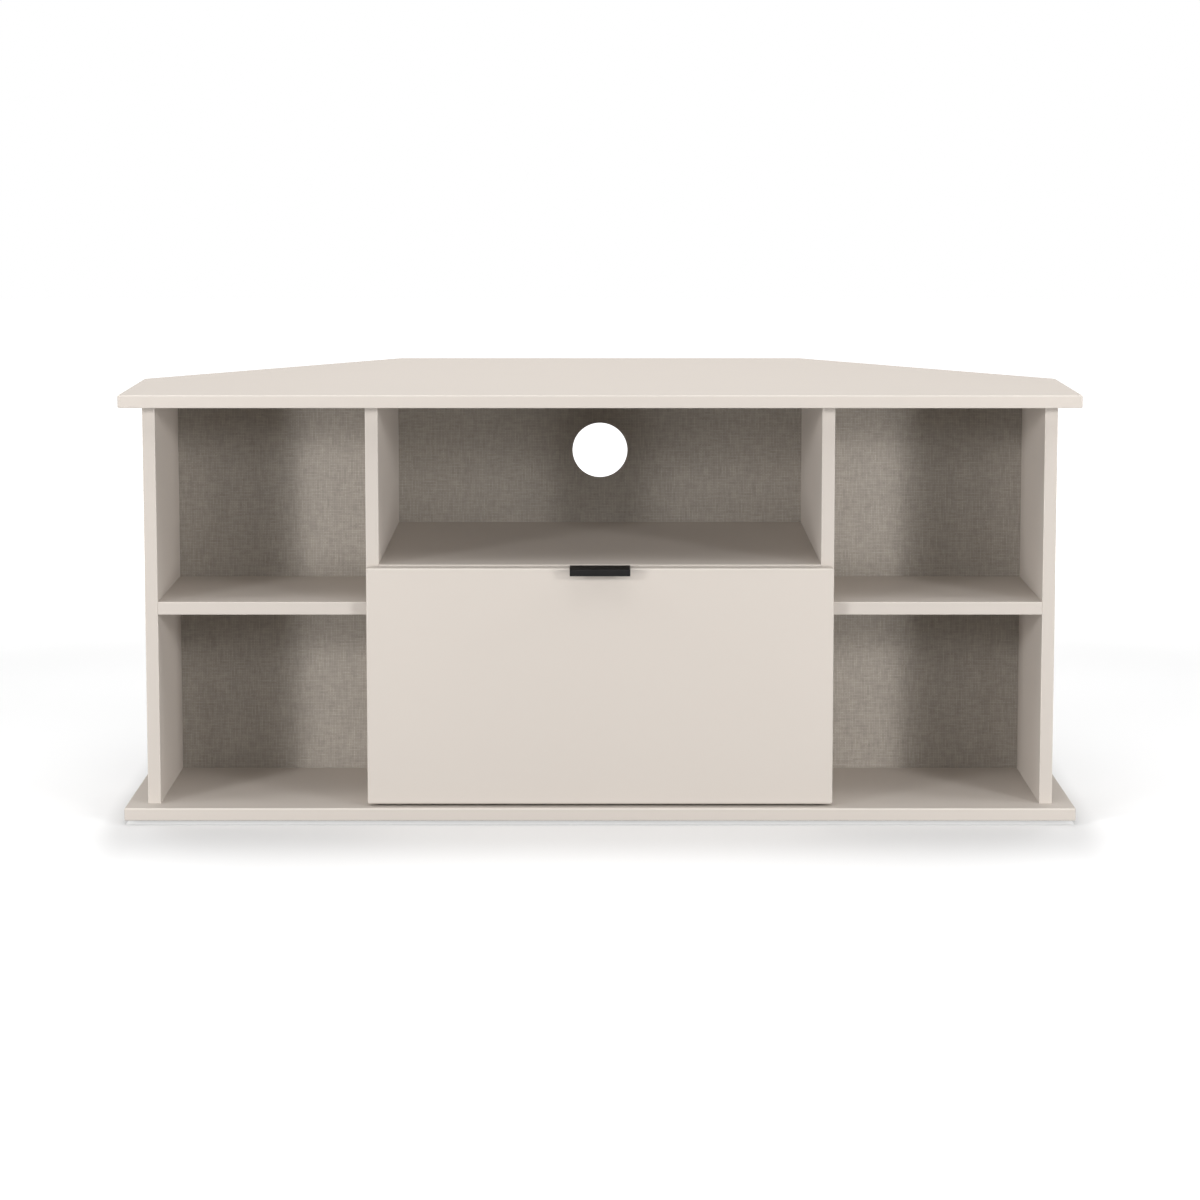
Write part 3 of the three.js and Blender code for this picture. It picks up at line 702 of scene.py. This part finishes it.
def glide_mesh(name, radius, pad, pin, height):
    """A nail-on glide that stands on the origin: a domed pad with a pointed pin."""
    sides, steps = 48, 8
    bend, chamfer, point = pad * 0.55, pad * 0.08, pin * 2.4
    dome = bend * 0.1
    outline = [(radius * 0.6, 0.0), (radius * 0.8, dome * 0.4)]
    for step in range(1, steps + 1):
        angle = math.pi / 2 * step / steps
        reach = radius - bend * (1 - math.sin(angle))
        outline.append((reach, dome + (bend - dome) * (1 - math.cos(angle))))
    outline += [(radius, pad - chamfer), (radius - chamfer, pad), (pin, pad)]
    outline += [(pin, height - point), (pin * POINT_SHARE, height)]
    return ring_solid(name, [circle(reach, level, sides) for reach, level in outline])


def fit_over(node, mesh, heading, material):
    """Puts a mesh that starts at its origin and points along +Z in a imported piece's place."""
    low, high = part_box(node)
    middle, size = (low + high) / 2, high - low
    heading = Vector(heading)
    start = middle - heading * abs(size.dot(heading)) / 2
    piece = bpy.data.objects.new(f"{node}_detailed", mesh)
    turn = heading.to_track_quat("Z", "Y").to_matrix().to_4x4()
    piece.matrix_world = Matrix.Translation(start) @ turn
    bpy.context.scene.collection.objects.link(piece)
    if not mesh.materials:
        mesh.materials.append(material)
    shading = piece.modifiers.new("smooth curves", "NODES")
    shading.node_group = shading_tree()
    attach(piece, frame["nodes"][node]["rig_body"])
    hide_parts(node)


def lacquer_finish(name, across, edge_tone=1.0):
    """Cashmere lacquer on a board that is thin along the direction across, with its edge band's tone and
    a painted highlight on its rounded edges.
    """
    boards = bpy.context.scene.cabinet_boards
    finish = Finish(name, boards.least_roughness, specular=boards.sheen)
    toned = finish.cloudy(boards.lacquer, boards.tone_patch, boards.tone_change)
    edges = finish.group(arris_group(), across=across)
    banded = finish.scaled(toned, finish.ramp(edges["Edge"], 0.0, 1.0, 1.0, edge_tone))
    # Painted highlight: the lighter arris colour laid over the rounded edges
    painted_highlight = finish.maths("MULTIPLY", edges["Arris"], boards.arris_highlight_cover)
    finish.set_colour(finish.mixed(painted_highlight, banded, boards.arris))
    marks = finish.rubbed(stretch=(9, 9, 9))
    finish.set_roughness(marks, boards.least_roughness, boards.most_roughness)
    ripple = finish.group(ripple_group(), vector=finish.place, size=boards.ripple_size)
    finish.set_relief(ripple["Height"], boards.ripple_height)
    return finish.material


def linen_finish(name, turn, reverse_side):
    """Linen print on a thin panel, with bare hardboard on the side that faces reverse_side."""
    linen = bpy.context.scene.cabinet_linen
    finish = Finish(name, linen.roughness)
    laid = finish.node("ShaderNodeMapping", {"Vector": finish.place, "Rotation": turn}).outputs[0]
    woven = finish.group(
        linen_group(),
        vector=laid,
        pitch=(linen.pitch, linen.pitch, linen.pitch),
        warp=linen.warp,
        weft=linen.weft,
        gap=linen.gap,
        slub=linen.slub,
    )
    bare = finish.group(hardboard_group(), vector=finish.place, colour=linen.reverse)
    behind = finish.group(facing_group(), direction=reverse_side)["Mask"]
    finish.set_colour(finish.mixed(behind, woven["Colour"], bare["Colour"]))
    finish.set_roughness(behind, linen.roughness, linen.reverse_roughness)
    finish.set_relief(woven["Height"], linen.relief)
    return finish.material


def fitting_finish(name, colour, patch_size, change, roughness, relief, stretch=None, **surface):
    """Finish of a small fitting: patches of tone, fine grain, and rub marks if stretch is given."""
    low, high = roughness
    finish = Finish(name, low, **surface)
    grain_size = bpy.context.scene.cabinet_fittings.grain
    grain = finish.group(grain_group(), vector=finish.place, size=grain_size)
    finish.tone = finish.cloudy(colour, patch_size, change)
    finish.wear = finish.rubbed(stretch) if stretch else grain["Cloud"]
    finish.set_colour(finish.tone)
    finish.set_roughness(finish.wear, low, high)
    finish.set_relief(grain["Height"], relief)
    return finish


# Fittings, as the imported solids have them
ROLLER_BORE = 0.0056
GLIDE_PAD = 0.0049
GLIDE_PIN = 0.0024
SCREWS = {
    "base_screw": {
        "heading": UP,
        "mirrored": False,
        "countersunk": True,
        "shank": 0.005,
        "head_height": 0.004,
        "pitch": 0.0024,
    },
    "handle_screw": {
        "heading": (0, -1, 0),
        "mirrored": False,
        "countersunk": True,
        "shank": 0.003,
        "head_height": 0.0016,
        "pitch": 0.0012,
    },
    "cabinet_runner_screw": {
        "heading": ACROSS,
        "mirrored": True,
        "countersunk": False,
        "shank": 0.0035,
        "head_height": 0.0015,
        "pitch": 0.0015,
    },
    "drawer_runner_screw": {
        "heading": UP,
        "mirrored": False,
        "countersunk": False,
        "shank": 0.0035,
        "head_height": 0.0015,
        "pitch": 0.0015,
    },
}


class CabinetPieces:
    """What the operators of the cabinet share."""

    bl_options = {"REGISTER", "UNDO"}


class CABINET_OT_plates(CabinetPieces, Operator):
    """Lacquer the top plate and the base plate"""

    bl_idname = "cabinet.plates"
    bl_label = "Plates"

    def execute(self, context):
        dress_nodes(("top_plate", "base_plate"), lacquer_finish("lacquer_plates", UP))
        return {"FINISHED"}


class CABINET_OT_uprights(CabinetPieces, Operator):
    """Lacquer the side panels and the dividers"""

    bl_idname = "cabinet.uprights"
    bl_label = "Uprights"

    def execute(self, context):
        names = [f"{side}_{kind}" for side in SIDES for kind in UPRIGHTS]
        edge_tone = context.scene.cabinet_boards.edge_band
        dress_nodes(names, lacquer_finish("lacquer_uprights", ACROSS, edge_tone))
        return {"FINISHED"}


class CABINET_OT_shelves(CabinetPieces, Operator):
    """Lacquer the three fixed shelves"""

    bl_idname = "cabinet.shelves"
    bl_label = "Shelves"

    def execute(self, context):
        names = ("left_shelf", "centre_shelf", "right_shelf")
        edge_tone = context.scene.cabinet_boards.edge_band
        dress_nodes(names, lacquer_finish("lacquer_shelves", UP, edge_tone))
        return {"FINISHED"}


class CABINET_OT_back_panels(CabinetPieces, Operator):
    """Cover the back panels with linen print, and leave their far side bare"""

    bl_idname = "cabinet.back_panels"
    bl_label = "Back panels"

    def execute(self, context):
        names = ("left_back_panel", "centre_back_panel", "right_back_panel")
        upright = (math.radians(90), 0, 0)
        dress_nodes(names, linen_finish("linen_backs", upright, DEEP))
        return {"FINISHED"}


class CABINET_OT_drawer_front(CabinetPieces, Operator):
    """Lacquer the drawer front"""

    bl_idname = "cabinet.drawer_front"
    bl_label = "Drawer front"

    def execute(self, context):
        dress_nodes(("drawer_front",), lacquer_finish("lacquer_drawer_front", DEEP))
        return {"FINISHED"}


class CABINET_OT_drawer_box(CabinetPieces, Operator):
    """Wrap the drawer's sides and back in foil, and lay its bottom"""

    bl_idname = "cabinet.drawer_box"
    bl_label = "Drawer box"

    def execute(self, context):
        boards = context.scene.cabinet_boards
        for names, across in (
            (("drawer_left_side", "drawer_right_side"), ACROSS),
            (("drawer_back",), DEEP),
        ):
            finish = Finish(f"foil_{names[0]}", boards.foil_roughness)
            toned = finish.cloudy(boards.drawer_foil, boards.foil_patch, boards.tone_change)
            edges = finish.group(arris_group(), across=across)
            # Painted highlight: the lighter arris colour laid over the box's rounded edges
            finish.set_colour(finish.mixed(edges["Arris"], toned, boards.arris))
            ripple = finish.group(ripple_group(), vector=finish.place, size=boards.ripple_size)
            finish.set_relief(ripple["Height"], boards.ripple_height)
            dress_nodes(names, finish.material)
        level, underneath = (0, 0, 0), (0, 0, -1)
        dress_nodes(("drawer_bottom",), linen_finish("linen_drawer_bottom", level, underneath))
        return {"FINISHED"}


class CABINET_OT_handle(CabinetPieces, Operator):
    """Powder-coat the bent strip handle in matt black"""

    bl_idname = "cabinet.handle"
    bl_label = "Handle"

    def execute(self, context):
        fittings = context.scene.cabinet_fittings
        finish = fitting_finish(
            "black_powder_coat",
            fittings.handle,
            patch_size=0.012,
            change=0.12,
            roughness=(0.4, 0.56),
            relief=0.00006,
            specular=0.25,
        )
        dress_nodes(("drawer_handle",), finish.material)
        return {"FINISHED"}


class CABINET_OT_runners(CabinetPieces, Operator):
    """Coat the drawer runners in white epoxy"""

    bl_idname = "cabinet.runners"
    bl_label = "Runners"

    def execute(self, context):
        fittings = context.scene.cabinet_fittings
        finish = fitting_finish(
            "epoxy_coat",
            fittings.runner,
            patch_size=0.03,
            change=0.03,
            roughness=(0.3, 0.46),
            relief=0.00002,
            stretch=(600, 22, 600),
        )
        worn = finish.maths("MULTIPLY", finish.wear, fittings.worn)
        finish.set_colour(finish.mixed(worn, finish.tone, fittings.zinc))
        names = [f"{side}_{part}_runner" for side in SIDES for part in ("cabinet", "drawer")]
        dress_nodes(names, finish.material)
        return {"FINISHED"}


class CABINET_OT_rollers(CabinetPieces, Operator):
    """Fit the moulded nylon rollers of the runners"""

    bl_idname = "cabinet.rollers"
    bl_label = "Rollers"

    def execute(self, context):
        fittings = context.scene.cabinet_fittings
        finish = fitting_finish(
            "moulded_nylon",
            fittings.nylon,
            patch_size=0.006,
            change=0.03,
            roughness=(0.34, 0.5),
            relief=0.00001,
            stretch=(2500, 200, 200),
        )
        names = [f"{side}_{end}_roller" for side in SIDES for end in ("front", "rear")]
        low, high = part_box(names[0])
        size = high - low
        mesh = roller_mesh("roller", size.z / 2, size.x, ROLLER_BORE / 2)
        for name in names:
            fit_over(name, mesh, ACROSS, finish.material)
        return {"FINISHED"}


class CABINET_OT_screws(CabinetPieces, Operator):
    """Drive the zinc-plated screws, with their threads and cross recesses"""

    bl_idname = "cabinet.screws"
    bl_label = "Screws"

    def execute(self, context):
        fittings = context.scene.cabinet_fittings
        finish = fitting_finish(
            "zinc_plating",
            fittings.zinc,
            patch_size=0.004,
            change=0.08,
            roughness=(0.24, 0.44),
            relief=0.00001,
            stretch=(900, 900, 900),
            metallic=1.0,
        )
        for kind, screw in SCREWS.items():
            names = sorted(name for name in frame["nodes"] if kind in name)
            low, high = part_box(names[0])
            size = high - low
            along = Vector(screw["heading"])
            length = abs(size.dot(along))
            head = (sum(size) - length) / 2
            mesh = screw_mesh(kind, screw, head, length)
            for name in names:
                mirrored = screw["mirrored"] and name.startswith("left")
                heading = -along if mirrored else along
                fit_over(name, mesh, heading, finish.material)
        return {"FINISHED"}


class CABINET_OT_dowels(CabinetPieces, Operator):
    """Set the fluted beech dowels under the top plate"""

    bl_idname = "cabinet.dowels"
    bl_label = "Dowels"

    def execute(self, context):
        fittings = context.scene.cabinet_fittings
        finish = Finish("bare_beech", fittings.wood_roughness)
        wood = finish.group(wood_group(), vector=finish.place, colour=fittings.beech)
        finish.set_colour(wood["Colour"])
        finish.set_relief(wood["Height"], fittings.wood_relief)
        names = sorted(name for name in frame["nodes"] if name.startswith("top_dowel_"))
        low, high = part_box(names[0])
        size = high - low
        mesh = dowel_mesh("dowel", size.x / 2, size.z)
        for name in names:
            fit_over(name, mesh, UP, finish.material)
        return {"FINISHED"}


class CABINET_OT_glides(CabinetPieces, Operator):
    """Nail the domed plastic glides under the base plate"""

    bl_idname = "cabinet.glides"
    bl_label = "Glides"

    def execute(self, context):
        fittings = context.scene.cabinet_fittings
        finish = fitting_finish(
            "glide_plastic",
            fittings.glide,
            patch_size=0.008,
            change=0.1,
            roughness=(0.42, 0.6),
            relief=0.00003,
        )
        names = sorted(name for name in frame["nodes"] if name.startswith("glide_"))
        low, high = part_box(names[0])
        size = high - low
        mesh = glide_mesh("glide", size.x / 2, GLIDE_PAD, GLIDE_PIN / 2, size.z)
        for name in names:
            fit_over(name, mesh, UP, finish.material)
        return {"FINISHED"}


# Lamps: name, place, width, height, power, and whether there is one on each side
LAMPS = (
    ("far_key", (2.5, -2.79, 1.3), 0.2, 0.35, 15.2, True),
    ("near_key", (2.05, -2.11, 0.95), 0.2, 0.35, 10.3, True),
    ("inner_key", (2.22, -3.04, 1.3), 0.2, 0.35, 7.2, True),
    ("low_key", (1.95, -2.21, 0.2), 0.3, 0.4, 9.0, True),
    ("low_side", (1.53, -1.49, 0.2), 0.3, 0.4, 9.0, True),
    ("high_side", (1.9, -0.6, 2.0), 0.6, 0.6, 11.5, True),
    ("front_panel", (0.0, -3.4, 1.5), 3.0, 1.0, 24.1, False),
    ("overhead_front", (0.0, -1.0, 2.5), 1.8, 1.2, 14.3, False),
    ("overhead_back", (0.0, 0.9, 2.5), 3.0, 2.0, 60.5, False),
)
LAMP_TARGET = (0.0, 0.0, 0.25)

# The floor's glow for the camera, over distances from the cabinet's outline: painted light that lifts
# the cabinet's shadow near it, and white far from it
NEAR_GLOW = 0.16
NEAR_REACH = (0.07, 0.22)
NEAR_INSET = 0.02
SIDE_STRETCH = 4.0
FAR_REACH = (0.5, 2.0)

# The same in the gap under the front edge, over distances behind the cabinet's front: painted light in
# the shade under the base plate's front edge
GAP_GLOW = 0.53
GAP_EDGE = (0.0085, 0.01)
GAP_RISE = (0.003, 0.0215)
GAP_FALL = (0.028, 0.045)
GAP_END = 0.003

SENSOR_WIDTH = 0.036
LENS_SHIFT = -0.15


def add_lamp(name, place, width, height, power):
    data = bpy.data.lights.new(name, "AREA")
    data.shape = "RECTANGLE"
    data.size = width
    data.size_y = height
    data.energy = power
    lamp = bpy.data.objects.new(name, data)
    lamp.location = place
    towards = Vector(LAMP_TARGET) - Vector(place)
    lamp.rotation_euler = towards.to_track_quat("-Z", "Y").to_euler()
    lamp.visible_camera = False
    bpy.context.scene.collection.objects.link(lamp)


def floor_glow(finish):
    """The floor's glow for the camera: painted light that lifts the shadow near the cabinet and the
    shade in the gap under its front, and white far from it.
    """
    low, high = cad_box
    half = (high - low) / 2
    away = finish.vector_maths("ABSOLUTE", finish.place)

    def beyond(inset, stretch):
        """Distance outside the cabinet's outline, drawn in by inset, with X counted stretch times."""
        edge = finish.vector_maths("SUBTRACT", away, (half.x - inset, half.y - inset, 0.0))
        outside = finish.vector_maths("MAXIMUM", edge, (0.0, 0.0, 0.0))
        spread = finish.vector_maths("MULTIPLY", outside, (stretch, 1.0, 0.0))
        return finish.vector_maths("LENGTH", spread)

    near = finish.ramp(beyond(NEAR_INSET, SIDE_STRETCH), *NEAR_REACH, 0.0, NEAR_GLOW)
    far = finish.ramp(beyond(0.0, 1.0), *FAR_REACH)
    behind_front = finish.maths("ADD", finish.split(finish.place)[1], half.y)
    gap = finish.ramp(behind_front, *GAP_RISE, 0.0, GAP_GLOW)
    for limit in (
        finish.ramp(behind_front, *GAP_FALL, 1.0, 0.0),
        finish.ramp(finish.split(away)[0], half.x - GAP_END, half.x, 1.0, 0.0),
        finish.ramp(behind_front, *GAP_EDGE),
    ):
        gap = finish.maths("MULTIPLY", gap, limit)
    return finish.maths("ADD", finish.maths("ADD", near, far), gap)


def add_floor(stage):
    """A wide pale floor. The camera sees it as white, apart from the shadow of the cabinet, which a
    painted glow lifts near the cabinet and under its front edge.
    """
    reach = stage.floor_reach
    mesh = bpy.data.meshes.new("studio_floor")
    corners = [(-reach, -reach, 0), (reach, -reach, 0), (reach, reach, 0), (-reach, reach, 0)]
    mesh.from_pydata(corners, [], [(0, 1, 2, 3)])
    floor = bpy.data.objects.new("studio_floor", mesh)
    bpy.context.scene.collection.objects.link(floor)
    finish = Finish("floor_paper", stage.floor_roughness, specular=0.0)
    seen = finish.seen()
    finish.set_colour(finish.mixed(seen, stage.bounce, stage.floor))
    strength = finish.maths("MULTIPLY", floor_glow(finish), seen)
    glow = finish.node("ShaderNodeEmission", {"Strength": strength})
    both = finish.node("ShaderNodeAddShader", {0: finish.surface.outputs[0], 1: glow.outputs[0]})
    finish.feed(finish.tree.nodes["Material Output"].inputs["Surface"], both.outputs[0])
    mesh.materials.append(finish.material)


def set_surround(stage):
    """White behind everything for the camera, and an even soft light for all else."""
    world = bpy.data.worlds.new("studio_surround")
    world.use_nodes = True
    bpy.context.scene.world = world
    wiring = Wiring(world.node_tree)
    background = world.node_tree.nodes["Background"]
    background.inputs["Color"].default_value = (1, 1, 1, 1)
    strength = wiring.ramp(wiring.seen(), 0.0, 1.0, stage.surround, 1.0)
    wiring.feed(background.inputs["Strength"], strength)


def add_camera(stage):
    data = bpy.data.cameras.new("camera")
    data.lens = stage.lens * MM_PER_METRE
    data.sensor_width = SENSOR_WIDTH * MM_PER_METRE
    data.shift_y = LENS_SHIFT
    camera = bpy.data.objects.new("camera", data)
    camera.location = (0, -stage.camera_distance, stage.camera_height)
    camera.rotation_euler = (math.radians(90) - stage.camera_tilt, 0, 0)
    bpy.context.scene.collection.objects.link(camera)
    bpy.context.scene.camera = camera


class CABINET_OT_stage(CabinetPieces, Operator):
    """Set up the floor, the surround, the lamps and the camera"""

    bl_idname = "cabinet.stage"
    bl_label = "Studio"

    def execute(self, context):
        stage = context.scene.cabinet_stage
        add_floor(stage)
        set_surround(stage)
        for name, place, width, height, power, pair in LAMPS:
            for side in (-1, 1) if pair else (0,):
                spot = (place[0] * side, place[1], place[2])
                add_lamp(f"{name}_{side}", spot, width, height, power)
        add_camera(stage)
        context.scene.view_settings.view_transform = "Standard"
        return {"FINISHED"}


OPERATORS = (
    CABINET_OT_plates,
    CABINET_OT_uprights,
    CABINET_OT_shelves,
    CABINET_OT_back_panels,
    CABINET_OT_drawer_front,
    CABINET_OT_drawer_box,
    CABINET_OT_handle,
    CABINET_OT_runners,
    CABINET_OT_rollers,
    CABINET_OT_screws,
    CABINET_OT_dowels,
    CABINET_OT_glides,
    CABINET_OT_stage,
)


class CABINET_PT_pieces(Panel):
    """Settings and pieces of the corner TV cabinet"""

    bl_idname = "CABINET_PT_pieces"
    bl_label = "Corner TV Cabinet"
    bl_space_type = "VIEW_3D"
    bl_region_type = "UI"
    bl_category = "Cabinet"

    def draw(self, context):
        for name, kind in SETTINGS.items():
            box = self.layout.box()
            for setting in kind.__annotations__:
                box.prop(getattr(context.scene, name), setting)
        column = self.layout.column(align=True)
        for operator in OPERATORS:
            column.operator(operator.bl_idname)


CLASSES = (*SETTINGS.values(), *OPERATORS, CABINET_PT_pieces)


def register():
    for kind in CLASSES:
        bpy.utils.register_class(kind)
    for name, kind in SETTINGS.items():
        setattr(bpy.types.Scene, name, PointerProperty(type=kind))


def unregister():
    for name in SETTINGS:
        delattr(bpy.types.Scene, name)
    for kind in reversed(CLASSES):
        bpy.utils.unregister_class(kind)


def main():
    register()
    for operator in OPERATORS:
        family, name = operator.bl_idname.split(".")
        getattr(getattr(bpy.ops, family), name)()


if __name__ == "__main__":
    main()
